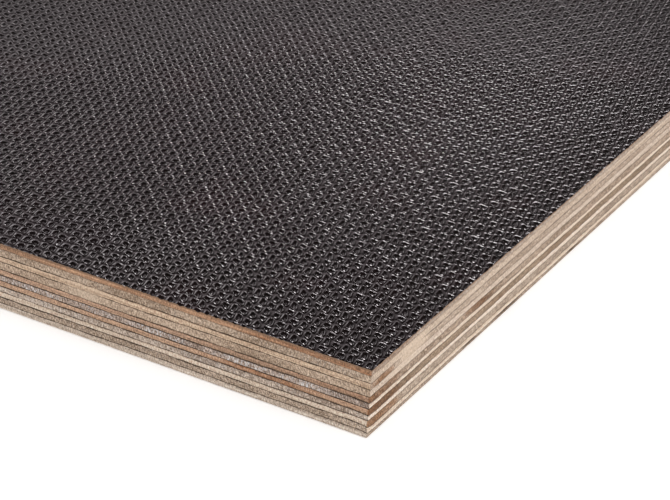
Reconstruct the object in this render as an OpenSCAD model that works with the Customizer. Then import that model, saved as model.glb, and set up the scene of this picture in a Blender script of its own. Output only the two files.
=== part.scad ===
// Anti-slip film-faced plywood sheet, full size, lying flat with its tread side up.
// Eleven veneers are glued up with the grain of each one across the grain of the next.
// A film with a pressed mesh covers the top, and the underside is the bare bottom veneer.
// X runs along the length and the face grain, Y along the width, and Z = 0 is the underside.

/* [Sheet] */
// Length of the sheet, along the face grain
sheet_l = 2440; // [600:10:3000]
// Width of the sheet, across the face grain
sheet_w = 1220; // [300:10:1525]

/* [Film] */
// Thickness of the top film, from its glue line to the crests of its pressed mesh
tread_film_t = 0.5; // [0.3:0.1:1.5]

/* [Veneers] */
// Thickness of the two face veneers, plies 1 and 11
face_ply_t = 1.6; // [1:0.1:3.2]
// Thickness of the two heavy crossbands near the top, plies 2 and 4
heavy_cross_t = 1.9; // [1:0.1:3.2]
// Thickness of the long-grain inner veneers, plies 3, 5, 7 and 9
long_core_t = 1.5; // [1:0.1:3.2]
// Thickness of the other crossbands, plies 6, 8 and 10
cross_core_t = 1.5; // [1:0.1:3.2]

/* [Hidden] */
// Lay-up from the top veneer down; odd plies are long-grain, even plies are crossbands
layup = [
    face_ply_t, heavy_cross_t, long_core_t, heavy_cross_t,
    long_core_t, cross_core_t, long_core_t, cross_core_t,
    long_core_t, cross_core_t, face_ply_t
];
ply_count = len(layup);

// Height of a ply's lower face: the thickness of all the plies under it
function ply_z(n) = n == ply_count ? 0 : ply_z(n + 1) + layup[n];

// Name of a ply, numbered from the top with two digits
function ply_name(n) = str(n < 10 ? "ply_0" : "ply_", n);

// Underside of the film, on the top face veneer
tread_film_z = ply_z(1) + layup[0];

long_grain_color = "#d9a878";
cross_grain_color = "#b8aa98";
film_color = "#2c2624";

// One flat layer of the sheet, trimmed to its outline, with its lower face at height z
module layer(z, thickness) {
    translate([0, 0, z])
        linear_extrude(thickness)
            square([sheet_l, sheet_w], center = true);
}

module tread_film() {
    color(film_color)
        layer(tread_film_z, tread_film_t);
}

module ply(n) {
    color(n % 2 == 1 ? long_grain_color : cross_grain_color)
        layer(ply_z(n), layup[n - 1]);
}

tread_film();
for (n = [1 : ply_count]) ply(n);
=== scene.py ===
# %% [markdown]
# A sheet of anti-slip plywood: eleven veneers glued crosswise, with a dark film on top. A wire mesh was
# pressed into the film while it was hot, so the film is covered in small pits with raised rims.
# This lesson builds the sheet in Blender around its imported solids. The solids give every size: the
# script asks them where each layer lies, and only adds what they leave out, such as the pressed mesh,
# the wavy glue lines, the grain and the finish.

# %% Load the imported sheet
import math

import bmesh
import bpy
import numpy as np
from mathutils import Matrix, Vector


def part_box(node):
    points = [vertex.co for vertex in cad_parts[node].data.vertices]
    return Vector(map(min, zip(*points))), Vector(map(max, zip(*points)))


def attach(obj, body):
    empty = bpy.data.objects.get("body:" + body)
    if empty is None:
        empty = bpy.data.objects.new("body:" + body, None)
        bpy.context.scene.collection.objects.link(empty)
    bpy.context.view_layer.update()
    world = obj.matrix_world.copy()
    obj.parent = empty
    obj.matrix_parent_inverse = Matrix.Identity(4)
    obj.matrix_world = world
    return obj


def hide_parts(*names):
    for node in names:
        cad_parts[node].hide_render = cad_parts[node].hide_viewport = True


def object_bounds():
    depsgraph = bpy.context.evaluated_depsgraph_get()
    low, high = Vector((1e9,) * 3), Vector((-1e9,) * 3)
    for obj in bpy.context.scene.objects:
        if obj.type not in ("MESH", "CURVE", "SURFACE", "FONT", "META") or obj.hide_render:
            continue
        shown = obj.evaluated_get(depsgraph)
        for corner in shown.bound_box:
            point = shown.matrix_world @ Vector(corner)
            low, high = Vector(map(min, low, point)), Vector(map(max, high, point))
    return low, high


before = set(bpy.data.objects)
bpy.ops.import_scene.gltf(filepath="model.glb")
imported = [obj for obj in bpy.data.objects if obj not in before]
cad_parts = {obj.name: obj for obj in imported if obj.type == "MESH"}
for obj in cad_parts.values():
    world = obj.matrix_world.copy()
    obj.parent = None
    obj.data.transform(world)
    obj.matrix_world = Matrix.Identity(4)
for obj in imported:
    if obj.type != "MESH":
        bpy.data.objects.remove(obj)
cad_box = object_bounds()

MM = 0.001
low, high = cad_box
length, width, thickness = (high - low) / MM
near_corner = Vector((high.x, low.y, high.z))
# A point this close to an edge lies on it, in metres
TOUCH = 1e-6


def put_in_scene(name, data):
    """A new object that holds this data, linked to the scene."""
    made = bpy.data.objects.new(name, data)
    bpy.context.scene.collection.objects.link(made)
    return made


print(f"sheet {length:.0f} x {width:.0f} x {thickness:.1f} mm, {len(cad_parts)} layers")

# %% [markdown]
# The camera comes first, because the photograph shows only one corner of the sheet, from close by.
# A camera is settled by where it stands, where it looks and how long its lens is. It could be moved by
# hand until the picture fits. Here it is placed backwards from the corner instead: the corner's
# distance and its place in the picture are known, so the camera's own place follows from them.

# %% The camera, placed from the sheet's near corner
PHOTO_W, PHOTO_H = 670, 500
SENSOR_W = 36.0
FOCAL_PX = 2400
CORNER_PX = (372.1, 370.4)
CORNER_DISTANCE = 0.5384
VIEW_AZIMUTH = math.radians(27.87)
VIEW_ELEVATION = math.radians(27.90)
VIEW_ROLL = math.radians(3.87)

view_forward = Vector((
    -math.sin(VIEW_AZIMUTH) * math.cos(VIEW_ELEVATION),
    math.cos(VIEW_AZIMUTH) * math.cos(VIEW_ELEVATION),
    -math.sin(VIEW_ELEVATION),
))
level_right = Vector((math.cos(VIEW_AZIMUTH), math.sin(VIEW_AZIMUTH), 0))
level_up = level_right.cross(view_forward)
view_right = level_right * math.cos(VIEW_ROLL) + level_up * math.sin(VIEW_ROLL)
view_up = level_up * math.cos(VIEW_ROLL) - level_right * math.sin(VIEW_ROLL)

corner_x = (CORNER_PX[0] - PHOTO_W / 2) / FOCAL_PX
corner_y = (CORNER_PX[1] - PHOTO_H / 2) / FOCAL_PX
corner_ray = view_forward + view_right * corner_x - view_up * corner_y
eye = near_corner - corner_ray.normalized() * CORNER_DISTANCE

camera_data = bpy.data.cameras.new("photo_camera")
camera_data.sensor_width = SENSOR_W
camera_data.lens = FOCAL_PX / PHOTO_W * SENSOR_W
camera_data.clip_start = 0.01
camera = put_in_scene("photo_camera", camera_data)
turn = Matrix((view_right, view_up, -view_forward)).transposed()
camera.matrix_world = Matrix.Translation(eye) @ turn.to_4x4()
bpy.context.scene.camera = camera
print(f"camera at {tuple(round(c, 3) for c in eye)}, lens {camera_data.lens:.1f} mm")

# %% [markdown]
# Every finish below is a small graph of shader nodes. Making nodes and links one by one takes many
# lines, so this helper keeps a node tree and gives each common node a short method that returns the
# new node's output. A colour is written as a web hex code, the way a maker picks it from a swatch,
# and turned into the linear numbers that Blender wants.


# %% Short ways to write node graphs
def tone(code):
    """A swatch such as '#c8a078' as a linear colour."""
    parts = [int(code[i:i + 2], 16) / 255 for i in (1, 3, 5)]
    linear = [c / 12.92 if c <= 0.04045 else ((c + 0.055) / 1.055) ** 2.4 for c in parts]
    return (*linear, 1.0)


class Graph:
    """A node tree in which each method adds nodes and returns the last one's output."""

    def __init__(self, tree):
        self.tree = tree

    def feed(self, node, inputs):
        """Links outputs to a node's sockets, or sets plain values on them, and returns the node."""
        for socket, value in inputs.items():
            if isinstance(value, bpy.types.NodeSocket):
                self.tree.links.new(value, node.inputs[socket])
            else:
                node.inputs[socket].default_value = value
        return node

    def add(self, kind, inputs=None, **settings):
        """Adds any node and returns the node itself."""
        made = self.tree.nodes.new("ShaderNode" + kind)
        for name, value in settings.items():
            setattr(made, name, value)
        return self.feed(made, inputs or {})

    def math(self, operation, *values, clamp=False):
        inputs = dict(enumerate(values))
        return self.add("Math", inputs, operation=operation, use_clamp=clamp).outputs[0]

    def times(self, first, second, plus=None):
        """A product, with something added to it if plus is given."""
        if plus is None:
            return self.math("MULTIPLY", first, second)
        return self.math("MULTIPLY_ADD", first, second, plus)

    def vector(self, x, y, z=0.0):
        return self.add("CombineXYZ", {0: x, 1: y, 2: z}).outputs[0]

    def noise(self, vector, scale=1.0, detail=2.0, rough=0.5):
        inputs = {"Vector": vector, "Scale": scale, "Detail": detail, "Roughness": rough}
        return self.add("TexNoise", inputs).outputs["Fac"]

    def stretched(self, along, across, seed, per_mm, detail=2.0, rough=0.5):
        """Noise that is drawn out one way: per_mm is how often it turns along and across."""
        place = self.vector(self.times(along, per_mm[0]), self.times(across, per_mm[1]), seed)
        return self.noise(place, detail=detail, rough=rough)

    def between(self, value, start, end, out_start=0.0, out_end=1.0):
        """0 to 1, or out_start to out_end, as value goes from start to end, eased at both ends."""
        inputs = {"Value": value, "From Min": start, "From Max": end,
                  "To Min": out_start, "To Max": out_end}
        return self.add("MapRange", inputs, interpolation_type="SMOOTHSTEP").outputs[0]

    def blend(self, factor, first, second, way="MIX"):
        inputs = {0: factor, 6: first, 7: second}
        return self.add("Mix", inputs, data_type="RGBA", blend_type=way).outputs[2]

    def attribute(self, name, output="Fac"):
        return self.add("Attribute", attribute_name=name).outputs[output]

    def split(self, vector):
        return self.add("SeparateXYZ", {0: vector}).outputs

    def distance(self, vector):
        return self.add("VectorMath", {0: vector}, operation="LENGTH").outputs["Value"]

    def place(self):
        """Where a point lies on its object, in metres."""
        return self.add("TexCoord").outputs["Object"]

    def bump(self, height, strength, reach):
        """Adds a bump, whose height is scaled by reach, and returns the node itself."""
        return self.add("Bump", {"Strength": strength, "Distance": reach, "Height": height})

    def use(self, group, **values):
        """Places a node group and returns its outputs."""
        inputs = {name.replace("_", " ").capitalize(): value for name, value in values.items()}
        return self.add("Group", inputs, node_tree=group).outputs


def new_group(name, inputs, outputs):
    """An empty node group with named sockets, as (graph, its inputs, its result node)."""
    tree = bpy.data.node_groups.new(name, "ShaderNodeTree")
    kinds = {"value": "NodeSocketFloat", "colour": "NodeSocketColor"}
    for way, sockets in (("INPUT", inputs), ("OUTPUT", outputs)):
        for socket, kind in sockets.items():
            tree.interface.new_socket(socket, in_out=way, socket_type=kinds[kind])
    given = tree.nodes.new("NodeGroupInput").outputs
    result = tree.nodes.new("NodeGroupOutput")
    return Graph(tree), given, result


def new_material(name):
    """A material as (material, its graph, its Principled shader)."""
    material = bpy.data.materials.new(name)
    material.use_nodes = True
    return material, Graph(material.node_tree), material.node_tree.nodes["Principled BSDF"]


print("node helpers ready")

# %% [markdown]
# The pressed mesh is a lattice of pits: the knuckles of a woven wire mesh pressed them, and the hot
# film rose round each one in a rim. One family of wires runs almost along the sheet and the other
# leans over by some degrees. A point on the film gets two lattice numbers, p and q, which grow by one
# from wire to wire. In each cell the pit is a rounded square. Its wall climbs from its floor to the
# rim, and outside the rim the film falls off to a shallow hollow where four cells meet. Every second
# pit is deeper, because a wire of a weave goes over one neighbour and under the next.
# A single pit could be modelled and copied, but then all would be alike. So the mesh is a rule with
# some chance in it, used twice: here in Python for real geometry, and later in nodes for the shading.

# %% The rule of the pressed mesh
WIRE_PITCH = (2.56, 3.38)
WIRE_LEAN = (math.radians(1.8), math.radians(11.5))
# Depths in mm: of a pit's floor, what chance and the weave add to it, and of the hollow where cells meet
PIT_DEPTH = 0.34
PIT_CHANCE = 0.10
WEAVE_DIP = 0.05
HOLLOW = 0.16
HOLLOW_ROUND = 0.15
# Reach from a pit's middle, where 1 is the cell's border: of the flat floor, the rim and the hollow
FLOOR_REACH = 0.15
RIM_REACH = 0.72
RIM_CHANCE = 0.12
HOLLOW_REACH = 1.20
# Power of the rounded square, between 2 for a circle and very many for a square
PIT_SQUARE = 2.5
# Sideways sway of the wires from crossing to crossing, and the bow between two crossings, in cells
WEAVE_SWAY = (0.06, 0.10)
SCALLOP = 0.14
# Wander of the wires, slow and quick: height in cells, turn per mm along front and side, and start
WANDER_P = ((0.25, 0.032, 0.021, 0.0), (0.04, 0.83, 0.57, 2.0), (0.035, -0.71, 1.13, 0.7))
WANDER_Q = ((0.22, -0.019, 0.027, 1.0), (0.04, 1.07, -0.49, 4.0), (0.035, 0.43, 1.31, 2.6))
# Constants of the cell number, which is 0 to 1 and differs from cell to cell
CELL_MIX = (0.7549, 0.5698, 57.3)

# One step of p and of q, as (along the front edge, along the side edge) from the near corner, in mm
step_p = (WIRE_PITCH[0] * math.cos(WIRE_LEAN[0]), WIRE_PITCH[0] * math.sin(WIRE_LEAN[0]))
step_q = (WIRE_PITCH[1] * math.sin(WIRE_LEAN[1]), WIRE_PITCH[1] * math.cos(WIRE_LEAN[1]))
lattice_area = step_p[0] * step_q[1] - step_p[1] * step_q[0]


def lattice_shift(p, q):
    """How far the wires' wander and the weave's sway move the lattice numbers of a straight mesh."""
    front, side = p * step_p[0] + q * step_q[0], p * step_p[1] + q * step_q[1]
    wander_p, wander_q = (
        sum(height * np.sin(by_front * front + by_side * side + start)
            for height, by_front, by_side, start in terms)
        for terms in (WANDER_P, WANDER_Q)
    )
    sway_p = -WEAVE_SWAY[0] * np.cos(math.pi * p) * np.sin(math.pi * q)
    sway_q = WEAVE_SWAY[1] * np.sin(math.pi * p) * np.cos(math.pi * q)
    sway_q = sway_q - SCALLOP * np.sin(math.pi * p) ** 2
    return wander_p + sway_p, wander_q + sway_q


def lattice_place(p, q):
    """Where lattice point p, q lies: (along the front edge, along the side edge), in mm."""
    straight_p, straight_q = p, q
    for _ in range(12):
        shift_p, shift_q = lattice_shift(straight_p, straight_q)
        straight_p, straight_q = p - shift_p, q - shift_q
    return (straight_p * step_p[0] + straight_q * step_q[0],
            straight_p * step_p[1] + straight_q * step_q[1])


def pit_depth(p, q):
    """Depth of the pressed film at lattice point p, q, in mm below the rims."""
    cell_p, cell_q = np.floor(p), np.floor(q)
    mix_p = (cell_p * CELL_MIX[0]) % 1 + 0.3
    mix_q = (cell_q * CELL_MIX[1]) % 1 + 0.7
    chance = mix_p * mix_q * CELL_MIX[2] % 1
    over = (cell_p + cell_q) % 2
    off_p = np.abs(2 * (p - cell_p) - 1) ** PIT_SQUARE
    off_q = np.abs(2 * (q - cell_q) - 1) ** PIT_SQUARE
    reach = (off_p + off_q) ** (1 / PIT_SQUARE)
    rim = RIM_REACH + RIM_CHANCE * (chance - 0.5)
    wall = np.clip((rim - reach) / (rim - FLOOR_REACH), 0, 1)
    fall = np.clip((reach - rim) / (HOLLOW_REACH - rim), 0, 1)
    pit = (PIT_DEPTH + PIT_CHANCE * chance + WEAVE_DIP * over) * wall * wall * (3 - 2 * wall)
    return pit + HOLLOW * fall * (1 + HOLLOW_ROUND - HOLLOW_ROUND * fall)


deepest = PIT_DEPTH + PIT_CHANCE + WEAVE_DIP
print(f"wire pitch {WIRE_PITCH} mm, pits up to {deepest:.2f} mm deep")

# %% [markdown]
# The whole sheet has some 350,000 pits, which is too many to model. The photograph's frame looks at
# a few thousand of them, so those are real geometry: a patch of lattice cells, each cut into a grid.
# Around the patch the film goes on as one flat face at the pits' mean depth, and there the shading
# alone carries the mesh. Just outside the frame the relief sinks to that mean, so the patch ends level.

# %% The film's top, with real pits where the camera is close
CELL_CUTS = 4
# Lattice numbers among which the cells in view are looked for
SEARCH_P, SEARCH_Q = (-60, 140), (-20, 140)
# Pixels outside the frame: where the last cells lie, and where the relief starts and ends its fade
FRAME_MARGIN = 14.0
FADE_START, FADE_END = 5.0, 10.0
crest_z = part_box("tread_film")[1].z
film_foot = crest_z - (deepest + 0.01) * MM
samples = np.linspace(0, 20, 400)
mean_depth = float(np.mean(pit_depth(*np.meshgrid(samples, samples))))


def outside_frame(along_front, along_side):
    """How far a point of the top face lies outside the photograph's frame, in its pixels."""
    x = near_corner.x - along_front * MM - eye.x
    y = near_corner.y + along_side * MM - eye.y
    z = near_corner.z - eye.z
    right, up, ahead = (x * v.x + y * v.y + z * v.z for v in (view_right, view_up, view_forward))
    column = PHOTO_W / 2 + FOCAL_PX * right / ahead
    row = PHOTO_H / 2 - FOCAL_PX * up / ahead
    over = np.maximum.reduce([-column, column - PHOTO_W, -row, row - PHOTO_H])
    return np.where(ahead > 0.05, over, 1e6)


def relief_cells():
    """The lattice cells that the frame looks at, as arrays of p and q."""
    p, q = np.meshgrid(np.arange(*SEARCH_P), np.arange(*SEARCH_Q), indexing="ij")
    front, side = lattice_place(p + 0.5, q + 0.5)
    reach = 2 * max(WIRE_PITCH)
    seen = outside_frame(np.maximum(front, 0), np.maximum(side, 0)) < FRAME_MARGIN
    keep = seen & (front > -reach) & (side > -reach)
    return p[keep], q[keep]


def film_patch():
    """A bmesh of the pits in view, trimmed to the sheet's two near edges."""
    cell_p, cell_q = relief_cells()
    grid = np.arange(CELL_CUTS)
    corner_ids, faces = {}, []

    def vertex(i, j):
        return corner_ids.setdefault((i, j), len(corner_ids))

    for p, q in zip(cell_p, cell_q):
        for i in grid + p * CELL_CUTS:
            for j in grid + q * CELL_CUTS:
                faces.append((vertex(i, j), vertex(i, j + 1), vertex(i + 1, j + 1), vertex(i + 1, j)))
    p, q = np.array(list(corner_ids), float).T / CELL_CUTS
    front, side = lattice_place(p, q)
    over = outside_frame(np.maximum(front, 0), np.maximum(side, 0))
    keep = np.clip((FADE_END - over) / (FADE_END - FADE_START), 0, 1)
    depth = mean_depth + (pit_depth(p, q) - mean_depth) * keep
    x = near_corner.x - front * MM
    y = near_corner.y + side * MM
    z = crest_z - depth * MM
    patch = bmesh.new()
    verts = [patch.verts.new(co) for co in zip(x, y, z)]
    for face in faces:
        patch.faces.new([verts[i] for i in face])
    for normal in (Vector((1, 0, 0)), Vector((0, -1, 0))):
        everything = patch.verts[:] + patch.edges[:] + patch.faces[:]
        bmesh.ops.bisect_plane(patch, geom=everything, dist=1e-7, plane_co=near_corner, plane_no=normal,
                               clear_outer=True)
    return patch


patch = film_patch()
print(f"relief patch of {len(patch.faces)} faces")

# %% [markdown]
# On the real sheet the film runs on to all four edges. More grid could carry it there, but the rest is
# flat, so a single many-sided face is enough: it takes in the patch's inner border and the sheet's three
# other corners. Then the outer border is drawn down to the film's foot and closed below.


# %% The film's flat remainder, sides and underside
def inner_chain(patch):
    """The patch's vertices along its inner end, from the front edge round to the side edge."""
    rim = {}
    for edge in patch.edges:
        a, b = edge.verts
        along_side = min(a.co.x, b.co.x) > high.x - TOUCH
        along_front = max(a.co.y, b.co.y) < low.y + TOUCH
        if edge.is_boundary and not (along_side or along_front):
            rim.setdefault(a, []).append(b)
            rim.setdefault(b, []).append(a)
    ends = [v for v, near in rim.items() if len(near) == 1]
    start = min(ends, key=lambda v: v.co.y)
    chain, before = [start], None
    while len(chain) == 1 or len(rim[chain[-1]]) == 2:
        onward = [v for v in rim[chain[-1]] if v is not before]
        before = chain[-1]
        chain.append(onward[0])
    return chain


def close_film(patch):
    """Adds the flat rest of the top, then the sides and the underside."""
    chain = inner_chain(patch)
    flat_z = crest_z - mean_depth * MM
    corners = [(high.x, high.y), (low.x, high.y), (low.x, low.y)]
    outer = [patch.verts.new((x, y, flat_z)) for x, y in corners]
    patch.faces.new(chain + outer)
    rim = [e for e in patch.edges if e.is_boundary]
    for made in bmesh.ops.extrude_edge_only(patch, edges=rim)["geom"]:
        if isinstance(made, bmesh.types.BMVert):
            made.co.z = film_foot
    loop = [e for e in patch.edges if e.is_boundary]
    bmesh.ops.contextual_create(patch, geom=loop)
    bmesh.ops.recalc_face_normals(patch, faces=patch.faces[:])


close_film(patch)
film_mesh = bpy.data.meshes.new("tread_film_pressed")
patch.to_mesh(film_mesh)
patch.free()
film = put_in_scene("tread_film_pressed", film_mesh)
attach(film, "root")
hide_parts("tread_film")
film_mesh.calc_loop_triangles()
print(f"film of {len(film_mesh.loop_triangles)} triangles")

# %% [markdown]
# The veneers come next, and first the path that all of them follow: the sheet's outline. Evenly spaced
# points would be too coarse for the corner in view or far too many for the rest. So the stations lie
# close together along the two near edges by that corner, and ten times as far apart beyond.

# %% Stations round the sheet's outline
# Steps between stations, and how far the fine ones go, in mm
FINE_STEP = 0.6
COARSE_STEP = 6.0
FINE_REACH = 200.0
outline_length = 2 * (length + width)


def stations(side_length, fine_reach):
    """Distances along a side, fine at its start and coarse beyond."""
    fine = np.arange(0, fine_reach, FINE_STEP)
    rest = side_length - fine_reach
    coarse = fine_reach + np.linspace(0, rest, int(rest / COARSE_STEP), endpoint=False)
    return np.concatenate([fine, coarse])


def outline():
    """Stations from the near corner on: distance in mm, x and y in metres, and the side's number."""
    right = stations(width, FINE_REACH)
    back = stations(length, 0)
    left = stations(width, 0)
    front = np.sort(length - np.append(stations(length, FINE_REACH)[1:], length))
    sides = [
        (right, high.x + 0 * right, low.y + right * MM),
        (width + back, high.x - back * MM, high.y + 0 * back),
        (width + length + left, low.x + 0 * left, high.y - left * MM),
        (2 * width + length + front, low.x + front * MM, low.y + 0 * front),
    ]
    s, x, y = (np.concatenate(parts) for parts in zip(*sides))
    number = np.concatenate([np.full(len(side[0]), i) for i, side in enumerate(sides)])
    return s, x, y, number


ring_s, ring_x, ring_y, ring_side = outline()
ring_count = len(ring_s)
print(f"{ring_count} stations round {outline_length:.0f} mm of edge")

# %% [markdown]
# On the real edge a glue line is never quite straight, because the press squeezed the hot, soft veneers.
# A texture could fake the waves on straight veneers, but here the shape itself has them: each of the ten
# glue lines gets a wave of its own round the whole sheet, and the two veneers that meet there share it,
# with no gap. A veneer also looks thicker or thinner where the saw cuts along its fibres than where it
# cuts across, so each line has one small shift for the long sides and another for the short sides.

# %% The glue lines
PLY_COUNT = 11
PLY_SEED, LINE_SEED = 3.7, 5.3
# Heights of the waves and ripples of a glue line, in mm
WAVE_HEIGHT = 0.10
RIPPLE_HEIGHT = 0.035
# Shift of each glue line from its packed height, in mm: on the long sides and on the short sides
LINE_SHIFT = {
    1: (0.45, 0.45), 2: (0.40, 0.40), 3: (0.35, 0.05), 4: (0.10, 0.20), 5: (0.20, -0.30),
    6: (0.05, 0.05), 7: (0.10, -0.40), 8: (0.00, -0.20), 9: (0.10, -0.75), 10: (-0.10, -0.55),
}
TURN_REACH = 2.0
ply_names = [f"ply_{n:02d}" for n in range(1, PLY_COUNT + 1)]
ply_boxes = {name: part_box(name) for name in ply_names}


def short_side_share(s):
    """-1 on the long sides and +1 on the short sides, eased round each corner."""
    share = np.ones_like(s)
    for corner in (0, width, width + length, 2 * width + length, outline_length):
        share = share * np.tanh((s - corner) / TURN_REACH)
    return share


def glue_line(number, s):
    """Height of the glue line under ply number, in mm, at distance s round the sheet."""
    base = ply_boxes[ply_names[number - 1]][0].z / MM
    if number == PLY_COUNT:
        return np.full_like(s, base)
    draw = np.random.default_rng(100 + number)
    wave = np.zeros_like(s)
    for turns, height in ((draw.integers(40, 70), 0.5), (draw.integers(90, 160), 0.5),
                          (draw.integers(240, 400), 0.25)):
        wave += height * np.sin(2 * math.pi * turns * s / outline_length + draw.uniform(0, 2 * math.pi))
    ripple = np.sin(2 * math.pi * draw.integers(900, 1400) * s / outline_length + draw.uniform(0, 6))
    on_long, on_short = LINE_SHIFT[number]
    shift = on_long + (on_short - on_long) * (1 + short_side_share(s)) / 2
    return base + shift + WAVE_HEIGHT * wave + RIPPLE_HEIGHT * ripple


line_heights = {n: glue_line(n, ring_s) for n in range(1, PLY_COUNT + 1)}
line_heights[0] = np.full(ring_count, film_foot / MM)
print("glue lines laid")

# %% [markdown]
# A saw cut through wood has its accidents: brown heartwood or resin, pale stretches where filler closed
# a gap, and places where the blade tore a splinter out of the lowest veneer. The shade in such a gap is
# painted on as a dark tone. They could be left to chance, but a few in the right places make the edge
# look like this one, so each is an entry in a list.

# %% Stains, splinters and saw dips
# Rows of a veneer's band as shares of its thickness, and the saw cut's dip there in mm
ROWS = np.array([0.0, 0.12, 0.5, 0.88, 1.0])
ROW_DIP = np.array([0.06, 0.01, 0.0, 0.01, 0.06])
# Stains on the near edges: ply, edge, start and end from the near corner in mm, and strength. Above zero
# is brown heartwood or resin, and below zero is a pale filled stretch with no glue lines.
STAINS = [
    (1, "side", -20, 32, 0.5), (3, "side", -2, 15, 0.9), (5, "side", -20, 20, 1.0),
    (5, "side", 44, 66, 0.8), (7, "side", -25, 25, 1.0), (7, "side", 56, 76, 0.4),
    (7, "side", 80, 128, 0.4), (9, "side", -20, 20, 1.1), (2, "side", 4, 32, -0.9),
    (3, "side", 9, 32, -1.1), (4, "side", 2, 28, -0.7), (1, "front", -20, 50, 0.5),
    (1, "front", 60, 75, 0.4), (5, "front", -20, 30, 0.4), (7, "front", 8, 48, 0.7),
    (3, "front", 68, 88, -0.6), (4, "front", 70, 86, -0.8), (2, "front", 30, 54, -0.4),
]
# Splinters broken out of the side edge: ply, start and end from the near corner, and depth, in mm
SPLINTERS = [(11, 64.0, 82.0, 0.4), (11, 47.0, 57.0, 0.3), (11, 108.0, 117.0, 0.3)]
SPLINTER_ROWS = (0.0, 0.3, 1.0, 1.0, 0.3)


def hump(s, start, end):
    """0 outside a stretch and 1 in its middle, eased."""
    return np.sin(math.pi * np.clip((s - start) / (end - start), 0, 1))


def band_dip(number, s, row):
    """How far the saw cut lies inside the outline, in mm."""
    draw = np.random.default_rng(500 + number)
    dip = ROW_DIP[row] + draw.uniform(0.0, 0.05)
    dip = dip + 0.015 * np.sin(2 * math.pi * s / draw.uniform(7, 13)) ** 2
    for ply, start, end, depth in SPLINTERS:
        if ply == number:
            dip = dip + depth * hump(s, start, end) * SPLINTER_ROWS[row]
    return dip


def stain(number, s):
    """Strength of the stains at distance s round the sheet."""
    total = np.zeros_like(s)
    for ply, edge, start, end, strength in STAINS:
        if ply == number:
            away = s if edge == "side" else outline_length - s
            total += strength * hump(away, start, end)
    return total


def painted_gap_shade(number, s, t):
    """Painted shade: 1 where a splinter has left a gap in the lower part of the veneer, t across it."""
    gap_shade = [hump(s, start, end) for ply, start, end, _ in SPLINTERS if ply == number]
    return sum(gap_shade, np.zeros_like(s)) * np.clip(1.5 - 2.6 * abs(t - 0.65), 0, 1)


print(f"{len(STAINS)} stains and {len(SPLINTERS)} splinters placed")

# %% [markdown]
# A veneer is a closed mesh: a band of faces round the outline, and a face above and below. A box would
# have its size but not its wavy edges, so the mesh is written point by point. The band has a few rows
# and can dip a little at the glue lines, as the saw leaves it, and where a splinter broke out. Every
# corner of a band face also stores where it lies along and across the veneer. The wood shaders read
# those two numbers, so the grain and the glue follow the waves.


# %% Veneer meshes
def shows_end_grain(number, side):
    """Long-grain veneers show their end grain on the short sides, and crossbands on the long ones."""
    return (side % 2 == 0) == (number % 2 == 1)


def store(mesh, name, kind, domain, values):
    """Keeps numbers on a mesh under a name, for the shaders to read."""
    made = mesh.attributes.new(name, kind, domain)
    field = "vector" if kind == "FLOAT2" else "value"
    made.data.foreach_set(field, np.asarray(values, np.float32).ravel())


def band_points(number):
    """The points of a veneer's band, row by row from its lower line to its upper one."""
    lower, upper = line_heights[number], line_heights[number - 1]
    centre_x, centre_y = (low.x + high.x) / 2, (low.y + high.y) / 2
    rows = []
    for row, t in enumerate(ROWS):
        dip = band_dip(number, ring_s, row) * MM
        x = np.where(np.abs(ring_x) > high.x - TOUCH, ring_x - np.sign(ring_x - centre_x) * dip, ring_x)
        y = np.where(np.abs(ring_y) > high.y - TOUCH, ring_y - np.sign(ring_y - centre_y) * dip, ring_y)
        z = (lower + (upper - lower) * t) * MM
        rows.append(np.stack([x, y, z], 1))
    return np.concatenate(rows)


def veneer(number):
    """The mesh of one veneer, with its band, its two faces and the numbers for its shaders."""
    here = np.arange(ring_count)
    onward = (here + 1) % ring_count
    s_next = np.where(onward == 0, outline_length, ring_s[onward])
    bands, along, across = [], [], []
    for row in range(len(ROWS) - 1):
        a, b = here + row * ring_count, onward + row * ring_count
        bands.append(np.stack([a, b, b + ring_count, a + ring_count], 1))
        along.append(np.stack([ring_s, s_next, s_next, ring_s], 1))
        across.append(np.tile([ROWS[row], ROWS[row], ROWS[row + 1], ROWS[row + 1]], (ring_count, 1)))
    bands = np.concatenate(bands)
    top = here + (len(ROWS) - 1) * ring_count
    faces = bands.tolist() + [top.tolist(), here[::-1].tolist()]
    mesh = bpy.data.meshes.new(f"veneer_{number:02d}")
    mesh.from_pydata(band_points(number).tolist(), [], faces)
    grain = np.zeros((len(mesh.loops), 2))
    grain[:bands.size, 0] = np.concatenate(along).ravel()
    grain[:bands.size, 1] = np.concatenate(across).ravel()
    end_grain = np.zeros(len(mesh.polygons))
    end_grain[:len(bands)] = np.tile(shows_end_grain(number, ring_side), len(ROWS) - 1)
    gap_shade = np.concatenate([painted_gap_shade(number, ring_s, t) for t in ROWS])
    store(mesh, "grain", "FLOAT2", "CORNER", grain)
    store(mesh, "end_grain", "FLOAT", "FACE", end_grain)
    store(mesh, "stain", "FLOAT", "POINT", np.tile(stain(number, ring_s), len(ROWS)))
    # The splinter gaps' painted shade, for the shader to darken them
    store(mesh, "broken", "FLOAT", "POINT", gap_shade)
    finishes = np.zeros(len(mesh.polygons), np.int32)
    finishes[len(bands):] = 1
    mesh.polygons.foreach_set("material_index", finishes)
    mesh.polygons.foreach_set("use_smooth", np.ones(len(mesh.polygons), bool))
    mesh.set_sharp_from_angle(angle=math.radians(40))
    mesh.validate()
    return mesh


veneers = {}
for number, name in enumerate(ply_names, 1):
    piece = put_in_scene(f"veneer_{number:02d}", veneer(number))
    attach(piece, "root")
    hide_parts(name)
    veneers[number] = piece
print(f"{len(veneers)} veneers, {sum(len(v.data.polygons) for v in veneers.values())} faces")

# %% [markdown]
# A saw cut along the fibres shows long grain: fine streaks that run far along the edge
# and change quickly across it. A cut across the fibres shows end grain: a rough, speckled face of open
# pores with small slanted checks from the veneer knife. Glue shows as a thin dark line that comes and
# goes, and the saw leaves tooth marks and torn fibres over everything. Each veneer could have its own
# copy of these nodes, but all of them use the same looks, so each look is a node group, and a veneer
# only sets its own tones and seed.

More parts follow.
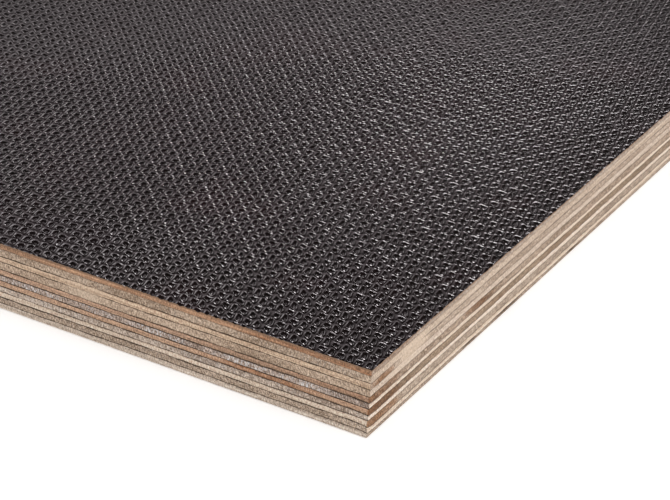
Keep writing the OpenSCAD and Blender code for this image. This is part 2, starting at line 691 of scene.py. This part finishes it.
# %% Long grain, end grain, glue and saw marks as node groups
GRAIN_INPUTS = {
    "Along": "value", "Across": "value", "Seed": "value", "Light": "colour", "Dark": "colour",
}
GRAIN_OUTPUTS = {"Colour": "colour", "Height": "value"}


def long_grain_group():
    graph, given, result = new_group("Long grain", GRAIN_INPUTS, GRAIN_OUTPUTS)
    place = given["Along"], given["Across"], given["Seed"]
    broad = graph.stretched(*place, (0.02, 1.3), detail=3.0)
    fibre = graph.stretched(*place, (0.12, 6.0), detail=3.0, rough=0.6)
    fuzz = graph.stretched(*place, (1.5, 5.0), detail=2.0, rough=0.7)
    mixed = graph.math("ADD", graph.times(broad, 0.4), graph.times(fibre, 0.35))
    mixed = graph.times(fuzz, 0.25, plus=mixed)
    colour = graph.blend(graph.between(mixed, 0.40, 0.60), given["Dark"], given["Light"])
    graph.feed(result, {"Colour": colour, "Height": fibre})
    return graph.tree


def end_grain_group():
    graph, given, result = new_group("End grain", GRAIN_INPUTS, GRAIN_OUTPUTS)
    along, across, seed = given["Along"], given["Across"], given["Seed"]
    leaning = graph.math("ADD", along, graph.times(across, 0.7))
    speckle = graph.stretched(along, across, seed, (2.6, 2.6), detail=2.0, rough=0.65)
    check = graph.stretched(leaning, across, seed, (1.7, 0.35), detail=1.0)
    patchy = graph.stretched(along, across, seed, (0.05, 0.25), detail=1.0)
    mixed = graph.math("ADD", graph.times(speckle, 0.65), graph.times(check, 0.15))
    mixed = graph.math("ADD", mixed, graph.times(patchy, 0.2))
    colour = graph.blend(graph.between(mixed, 0.40, 0.60), given["Dark"], given["Light"])
    graph.feed(result, {"Colour": colour, "Height": speckle})
    return graph.tree


def glue_group():
    graph, given, result = new_group(
        "Glue line",
        {"Along": "value", "Distance": "value", "Seed": "value", "Line width": "value"},
        {"Mask": "value"},
    )
    place = graph.vector(graph.times(given["Along"], 0.12), given["Seed"])
    broken = graph.noise(place, detail=5.0, rough=0.72)
    reach = graph.times(given["Line width"], graph.between(broken, 0.36, 0.62, 0.4, 1.0))
    mask = graph.between(given["Distance"], reach, graph.times(reach, 0.5))
    graph.feed(result, {"Mask": mask})
    return graph.tree


def saw_mark_group():
    graph, given, result = new_group("Saw marks", {"Along": "value", "Height": "value"},
                                     {"Mark": "value", "Fuzz": "value"})
    leaning = graph.times(given["Height"], 0.12, plus=given["Along"])
    tooth = graph.stretched(leaning, given["Height"], 0.0, (1.6, 0.25), detail=2.0, rough=0.75)
    torn = graph.stretched(leaning, given["Height"], 0.0, (3.3, 1.2), detail=2.0, rough=0.8)
    mark, fuzz = graph.between(tooth, 0.3, 0.7), graph.between(torn, 0.3, 0.7)
    graph.feed(result, {"Mark": mark, "Fuzz": fuzz})
    return graph.tree


long_grain = long_grain_group()
end_grain = end_grain_group()
glue = glue_group()
saw_marks = saw_mark_group()
print("wood groups:", ", ".join(g.name for g in (long_grain, end_grain, glue, saw_marks)))

# %% [markdown]
# The lay-up mixes timbers: reddish veneers near the top, pale ones lower down, and greyer crossbands.
# Eleven materials could be made by hand, but they differ only in their tones. So a table
# gives each veneer its tones, and one function makes all eleven finishes.

# %% Veneer finishes
GLUE_TONE = "#2a180b"
GLUE_WIDTH = 0.26
# How much of the glue shows on the long sides and on the short sides, where the saw smeared it
GLUE_SHOWS = (0.95, 0.6)
# Glue lines by number, as a share of the full width: line 1 lies under ply 1
GLUE_SHARE = {
    0: 0.3, 1: 0.35, 2: 0.9, 3: 0.7, 4: 0.9, 5: 1.0,
    6: 0.9, 7: 1.0, 8: 0.7, 9: 1.0, 10: 0.8, 11: 0.2,
}
# Plies with pale knife-torn flecks in their end grain, and how strong these are
FLECKS = {2: 0.1, 6: 0.65, 8: 0.15, 10: 0.1}
FLECK_TONE = "#dcdcde"
SAW_TONE = "#a89484"
BROWN_TONE = "#c8a688"
FILLER_TONE = "#d6c0aa"
# Dark tone painted into the splinter gaps as their shade
GAP_SHADE_TONE = "#3a2a1f"
# Ply: long-grain light and dark tones, end-grain light and dark tones
PLY_TONES = {
    1: ("#c89e7e", "#906f57", "#bdad9f", "#917e6e"),
    2: ("#ccb9a7", "#b39e8b", "#c2ad99", "#8a7460"),
    3: ("#dcc2a8", "#ad927a", "#c4b1a0", "#917c69"),
    4: ("#d2c0b0", "#bca896", "#c8b29d", "#927c68"),
    5: ("#caa68c", "#967963", "#b8a390", "#7d6855"),
    6: ("#e4d2c1", "#cdb9a5", "#c0ada0", "#786557"),
    7: ("#d0ad92", "#9c7b62", "#a7917b", "#75604d"),
    8: ("#e6d5c5", "#cfbcaa", "#c8b7a8", "#877566"),
    9: ("#e2d0be", "#bda893", "#beac9a", "#8b7868"),
    10: ("#e2d0be", "#c9b49f", "#c2ae9b", "#816d5b"),
    11: ("#dccdbe", "#b3a292", "#b9a795", "#837060"),
}


def flecked(graph, wood, number, along, across_mm, cut):
    """The wood with pale flecks where the cut shows end grain, gathered in loose groups."""
    seed = PLY_SEED * number
    spot = graph.stretched(along, across_mm, seed + 1, (2.4, 1.0), rough=0.7)
    gathered = graph.noise(graph.vector(graph.times(along, 0.09), seed), detail=2.0)
    gathered = graph.between(gathered, 0.40, 0.60, 0.15, 1.0)
    fleck = graph.times(graph.between(spot, 0.47, 0.62), gathered)
    fleck = graph.times(graph.times(fleck, cut), FLECKS[number])
    return graph.blend(fleck, wood, tone(FLECK_TONE))


def veneer_finish(number):
    """The sawn edge of one veneer: long grain or end grain by face, with glue along both lines."""
    material, graph, shader = new_material(f"veneer_{number:02d}_sawn")
    long_light, long_dark, end_light, end_dark = map(tone, PLY_TONES[number])
    box = ply_boxes[ply_names[number - 1]]
    ply_thickness = (box[1].z - box[0].z) / MM
    grain = graph.split(graph.attribute("grain", "Vector"))
    along, across_mm = grain[0], graph.times(grain[1], ply_thickness)
    seed = PLY_SEED * number
    where = {"along": along, "across": across_mm, "seed": seed}
    fibres = graph.use(long_grain, **where, light=long_light, dark=long_dark)
    pores = graph.use(end_grain, **where, light=end_light, dark=end_dark)
    cut = graph.attribute("end_grain")
    wood = graph.blend(cut, fibres["Colour"], pores["Colour"])
    place = graph.split(graph.place())
    saw = graph.use(saw_marks, along=along, height=graph.times(place[2], 1 / MM))
    wood = graph.blend(graph.times(saw["Mark"], 0.22), wood, tone(SAW_TONE), "MULTIPLY")
    if number in FLECKS:
        wood = flecked(graph, wood, number, along, across_mm, cut)
    wood = graph.blend(0.5, wood, saw["Fuzz"], "OVERLAY")
    ragged = graph.stretched(along, across_mm, seed, (0.22, 1.0), detail=5.0, rough=0.75)
    ragged = graph.times(ragged, 1.8, plus=-0.9)
    stained = graph.attribute("stain")
    brown = graph.between(graph.math("ADD", ragged, stained), 0.1, 1.1)
    pale = graph.between(graph.math("SUBTRACT", ragged, stained), 0.2, 1.0)
    wood = graph.blend(brown, wood, tone(BROWN_TONE), "MULTIPLY")
    wood = graph.blend(graph.times(pale, 0.5), wood, tone(FILLER_TONE))
    from_top = graph.math("SUBTRACT", ply_thickness, across_mm)
    lines = []
    for line, distance in ((number, across_mm), (number - 1, from_top)):
        drawn = graph.use(glue, along=along, distance=distance, seed=LINE_SEED * line,
                          line_width=GLUE_WIDTH * GLUE_SHARE[line])
        lines.append(drawn["Mask"])
    short_side = cut if number % 2 else graph.math("SUBTRACT", 1.0, cut)
    shows = graph.between(short_side, 0.0, 1.0, *GLUE_SHOWS)
    mask = graph.times(graph.math("MAXIMUM", *lines), graph.math("SUBTRACT", 1.0, pale))
    colour = graph.blend(graph.times(mask, shows), wood, tone(GLUE_TONE))
    # Painted shade: the splinter gaps are darkened by colour
    colour = graph.blend(graph.attribute("broken"), colour, tone(GAP_SHADE_TONE))
    height = graph.add("Mix", {0: cut, 2: fibres["Height"], 3: pores["Height"]}, data_type="FLOAT")
    bump = graph.bump(height.outputs[0], 0.5, 0.2 * MM)
    graph.feed(shader, {"Base Color": colour, "Normal": bump.outputs[0], "Roughness": 0.82,
                        "Specular IOR Level": 0.25})
    return material


for number, piece in veneers.items():
    piece.data.materials.append(veneer_finish(number))
print(f"{len(veneers)} sawn finishes")

# %% [markdown]
# The face of a veneer, which shows only on the underside of the sheet, is rotary-cut wood: long soft
# flames of grain along the sheet. It could have nodes of its own, but the long-grain group already draws
# streaks, so here it runs on the sheet's own X and Y, with a slow swirl that bends them into flames.


# %% Bare veneer face
def veneer_face():
    material, graph, shader = new_material("veneer_face")
    place = graph.split(graph.place())
    along = graph.times(place[0], 1 / MM)
    across = graph.times(place[1], 1 / MM)
    swirl = graph.stretched(along, across, 0.0, (0.004, 0.02))
    across = graph.math("ADD", graph.times(across, 0.12), graph.times(swirl, 6.0))
    fibres = graph.use(long_grain, along=along, across=across, seed=2.0,
                       light=tone("#cdb8a0"), dark=tone("#a88e74"))
    bump = graph.bump(fibres["Height"], 0.3, 0.2 * MM)
    graph.feed(shader, {"Base Color": fibres["Colour"], "Normal": bump.outputs[0], "Roughness": 0.75,
                        "Specular IOR Level": 0.3})
    return material


face_finish = veneer_face()
for piece in veneers.values():
    piece.data.materials.append(face_finish)
print("bare veneer face made")

# %% [markdown]
# Beyond the patch of real pits the film is flat, and there the shading alone has to show the mesh. An
# image of pits could be laid over it, but it would blur up close. So this node group repeats the rule of
# the pressed mesh: the distances from the near corner become p and q, and these become a depth. It
# also puts out each cell's chance number, which gives every pit its own shade.


# %% The pressed mesh as a node group
def pressed_mesh_group():
    graph, given, result = new_group("Pressed mesh", {"Front": "value", "Side": "value"},
                                     {"Depth": "value", "Chance": "value"})
    front, side = given["Front"], given["Side"]

    def straight(first, by_first, second, by_second):
        return graph.math("SUBTRACT", graph.times(first, by_first / lattice_area),
                          graph.times(second, by_second / lattice_area))

    def wave(kind, value):
        return graph.math(kind, graph.times(value, math.pi))

    def wander(terms):
        total = 0.0
        for height, by_front, by_side, start in terms:
            turn = graph.times(side, by_side, plus=start)
            turn = graph.times(front, by_front, plus=turn)
            total = graph.times(graph.math("SINE", turn), height, plus=total)
        return total

    def off_middle(number):
        from_middle = graph.times(graph.math("FRACT", number), 2.0, plus=-1.0)
        return graph.math("POWER", graph.math("ABSOLUTE", from_middle), PIT_SQUARE)

    even_p = straight(front, step_q[1], side, step_q[0])
    even_q = straight(side, step_p[0], front, step_p[1])
    sway_p = graph.times(wave("COSINE", even_p), wave("SINE", even_q))
    sway_q = graph.times(wave("SINE", even_p), wave("COSINE", even_q))
    p = graph.math("ADD", even_p, graph.times(sway_p, -WEAVE_SWAY[0], plus=wander(WANDER_P)))
    bow = graph.math("POWER", graph.math("ABSOLUTE", wave("SINE", even_p)), 2.0)
    scallop = graph.times(bow, -SCALLOP, plus=even_q)
    q = graph.math("ADD", scallop, graph.times(sway_q, WEAVE_SWAY[1], plus=wander(WANDER_Q)))
    cell_p, cell_q = graph.math("FLOOR", p), graph.math("FLOOR", q)
    mix_p = graph.math("ADD", graph.math("FRACT", graph.times(cell_p, CELL_MIX[0])), 0.3)
    mix_q = graph.math("ADD", graph.math("FRACT", graph.times(cell_q, CELL_MIX[1])), 0.7)
    mixed = graph.times(mix_p, mix_q)
    chance = graph.math("FRACT", graph.times(mixed, CELL_MIX[2]))
    over = graph.math("FLOORED_MODULO", graph.math("ADD", cell_p, cell_q), 2.0)
    reach = graph.math("POWER", graph.math("ADD", off_middle(p), off_middle(q)), 1 / PIT_SQUARE)
    rim = graph.times(chance, RIM_CHANCE, plus=RIM_REACH - RIM_CHANCE / 2)
    wall = graph.between(reach, rim, FLOOR_REACH)
    fall = graph.math("DIVIDE", graph.math("SUBTRACT", reach, rim),
                      graph.math("SUBTRACT", HOLLOW_REACH, rim), clamp=True)
    curve = graph.times(fall, -HOLLOW * HOLLOW_ROUND, plus=HOLLOW * (1 + HOLLOW_ROUND))
    floor_depth = graph.times(over, WEAVE_DIP, plus=PIT_DEPTH)
    floor_depth = graph.times(chance, PIT_CHANCE, plus=floor_depth)
    depth = graph.times(floor_depth, wall, plus=graph.times(fall, curve))
    graph.feed(result, {"Depth": depth, "Chance": chance})
    return graph.tree


pressed_mesh = pressed_mesh_group()
print(f"pressed mesh of {len(pressed_mesh.nodes)} nodes")

# %% [markdown]
# The film is paper soaked in dark brown resin and cured to a hard, glossy skin. A smooth black would
# look like plastic, so the finish has faint brown blotches, a shade per pit and a fine grain that breaks
# the reflections into glints. The bump starts from a level normal, not from the facets of the patch, so
# the real pits and the flat remainder shade alike. The film is shiniest at the corner in view and duller
# further in. At the sheet's edge the film is cut, and there the thin brown core of the paper shows.

# %% The film's finishes
FILM_TONES = ("#0c0807", "#110b0a")
BLOTCH_TONE = "#190d0d"
# Height of the film's fine grain, in mm
FILM_GRAIN = 0.05
# Where the shine ends and the dull film starts, in mm from the near corner, and their roughness
SHINE_REACH = (40.0, 300.0)
DULLNESS = (0.05, 0.40)
CUT_TONES = ("#6b4c36", "#94704f")


def film_finish():
    material, graph, shader = new_material("pressed_film")
    place = graph.split(graph.place())
    front = graph.times(graph.math("SUBTRACT", near_corner.x, place[0]), 1 / MM)
    side = graph.times(graph.math("SUBTRACT", place[1], near_corner.y), 1 / MM)
    on_film = graph.vector(front, side)
    pits = graph.use(pressed_mesh, front=front, side=side)
    blotch = graph.noise(on_film, scale=0.03, detail=3.0)
    colour = graph.blend(pits["Chance"], *map(tone, FILM_TONES))
    colour = graph.blend(graph.between(blotch, 0.5, 0.7), colour, tone(BLOTCH_TONE))
    dull = graph.between(graph.distance(on_film), *SHINE_REACH, *DULLNESS)
    rough = graph.times(pits["Chance"], 0.04, plus=dull)
    grain = graph.noise(on_film, scale=2.2, detail=3.0, rough=0.6)
    height = graph.times(grain, FILM_GRAIN, plus=graph.times(pits["Depth"], -1.0))
    bump = graph.bump(height, 1.0, MM)
    graph.feed(bump, {"Normal": graph.vector(0.0, 0.0, 1.0)})
    graph.feed(shader, {"Base Color": colour, "Normal": bump.outputs[0], "Roughness": rough,
                        "Specular IOR Level": 0.5})
    return material


def film_edge_finish():
    material, graph, shader = new_material("film_cut_edge")
    worn = graph.noise(graph.place(), scale=700.0, detail=2.0)
    colour = graph.blend(worn, *map(tone, CUT_TONES))
    graph.feed(shader, {"Base Color": colour, "Roughness": 0.5})
    return material


film_mesh.materials.append(film_finish())
film_mesh.materials.append(film_edge_finish())
for polygon in film_mesh.polygons:
    on_top = polygon.normal.z > 0.3
    polygon.material_index = 0 if on_top else 1
    polygon.use_smooth = on_top
film_mesh.set_sharp_from_angle(angle=math.radians(50))
print("film finished")

# %% [markdown]
# The studio's floor is a single white face just under the sheet, which keeps the sheet's shadow.
# It could end in a curved backdrop, but other views would then show its edges, so the floor fades
# out towards its rim instead and leaves only the white sky.

# %% Floor
# In metres: size, drop below the sheet, and where the fade starts and ends
FLOOR_SIZE = 14.0
FLOOR_DROP = 0.0002
FLOOR_FADE = (2.2, 6.8)

half = FLOOR_SIZE / 2
floor_corners = [(-half, -half, 0), (half, -half, 0), (half, half, 0), (-half, half, 0)]
floor_mesh = bpy.data.meshes.new("studio_floor")
floor_mesh.from_pydata(floor_corners, [], [(0, 1, 2, 3)])
floor = put_in_scene("studio_floor", floor_mesh)
floor.location.z = low.z - FLOOR_DROP
floor_material, floor_graph, floor_shader = new_material("white_floor")
floor_fade = floor_graph.between(floor_graph.distance(floor_graph.place()), *FLOOR_FADE, 1.0, 0.0)
floor_graph.feed(floor_shader, {
    "Base Color": tone("#f8f8f8"), "Roughness": 0.9, "Specular IOR Level": 0.1,
    "Emission Color": (1, 1, 1, 1), "Emission Strength": 0.2, "Alpha": floor_fade,
})
floor_mesh.materials.append(floor_material)
print(f"floor of {FLOOR_SIZE:.0f} m")

# %% [markdown]
# A hard dark film shows little but its reflections, so the sky decides how it looks. A plain white sky
# would turn it grey. So the sky is made in three parts: the camera sees plain white, the wood gets an
# even pale light, and a reflection sees a real studio with dim walls, a dark ceiling and a soft glow
# on the wall behind the sheet.

# %% Sky
SKY_LIGHT = 0.76
WALL_LIGHT = 0.06
GLOW_LIGHT = 0.48
# The glow from the near corner, in degrees: its turn and climb, and how far its edge and heart reach
GLOW_WAY = (31, 22)
GLOW_EDGE, GLOW_HEART = 24, 11

world = bpy.data.worlds.new("studio_sky")
world.use_nodes = True
bpy.context.scene.world = world
sky = Graph(world.node_tree)


def sky_part(colour, strength):
    """One even or coloured part of the sky."""
    return sky.add("Background", {"Color": colour, "Strength": strength}).outputs[0]


def sky_choice(test, no, yes):
    """One of two parts of the sky, by the kind of ray."""
    return sky.add("MixShader", {0: test, 1: no, 2: yes}).outputs[0]


def away_from_corner(turn, climb):
    """A direction as seen from the near corner: turned left from the side edge, then up, in degrees."""
    turn, climb = math.radians(turn), math.radians(climb)
    return Vector((-math.sin(turn) * math.cos(climb), math.cos(turn) * math.cos(climb), math.sin(climb)))


ray_way = sky.add("TexCoord").outputs["Generated"]
glow_way = away_from_corner(*GLOW_WAY)
facing = sky.add("VectorMath", {0: ray_way, 1: glow_way}, operation="DOT_PRODUCT")
glow_edge, glow_heart = (math.cos(math.radians(angle)) for angle in (GLOW_EDGE, GLOW_HEART))
glow = sky.between(facing.outputs["Value"], glow_edge, glow_heart, 0.0, GLOW_LIGHT)
ceiling = sky.between(sky.split(ray_way)[2], 0.55, 0.9, 1.0, 0.3)
level = sky.times(ceiling, WALL_LIGHT, plus=glow)
warm = sky.vector(level, sky.times(level, 0.86), sky.times(level, 0.90))
studio = sky_part(warm, 1.0)
white = sky_part((1, 1, 1, 1), 1.0)
pale = sky_part((1, 1, 1, 1), SKY_LIGHT)
rays = sky.add("LightPath").outputs
seen = sky_choice(rays["Is Glossy Ray"], pale, studio)
seen = sky_choice(sky.math("MAXIMUM", rays["Is Camera Ray"], rays["Is Transmission Ray"]), seen, white)
sky.feed(world.node_tree.nodes["World Output"], {"Surface": seen})
print(f"sky of {len(world.node_tree.nodes)} nodes")

# %% [markdown]
# Three soft lamps finish the studio. A large one to the right lights the right-hand edge more than the
# left. Two small ones stand low behind the sheet, where the slopes of the pits catch them: one lamp
# draws the rows of rims and the other the columns. A single lamp would leave half of the mesh dark.

# %% Lamps
LOW_LAMP_AWAY = 2.2
LOW_LAMP_TINT = (1.0, 0.93, 0.95)
# Low lamps as seen from the near corner: turn and climb in degrees, size in metres, and power in watts
LOW_LAMPS = {
    "row_lamp": ((23, 2.7), (0.46, 0.20), 2.1),
    "column_lamp": ((48, 8), (0.62, 0.46), 1.25),
}


def soft_lamp(name, place, aim, size, power):
    """A square-cornered lamp of a size in metres, turned to the aim and hidden from the camera."""
    lamp = bpy.data.lights.new(name, "AREA")
    lamp.shape = "RECTANGLE"
    lamp.size, lamp.size_y = size
    lamp.energy = power
    made = put_in_scene(name, lamp)
    made.location = place
    made.rotation_euler = (Vector(aim) - Vector(place)).to_track_quat("-Z", "Y").to_euler()
    made.visible_camera = False
    return made


soft_lamp("side_lamp", (4.6, -1.2, 3.6), (0.6, -0.3, 0), (2.2, 2.2), 110)
for name, (lamp_way, size, power) in LOW_LAMPS.items():
    place = near_corner + LOW_LAMP_AWAY * away_from_corner(*lamp_way)
    soft_lamp(name, place, near_corner, size, power).data.color = LOW_LAMP_TINT
bpy.context.scene.view_settings.view_transform = "Standard"
print("studio lit")
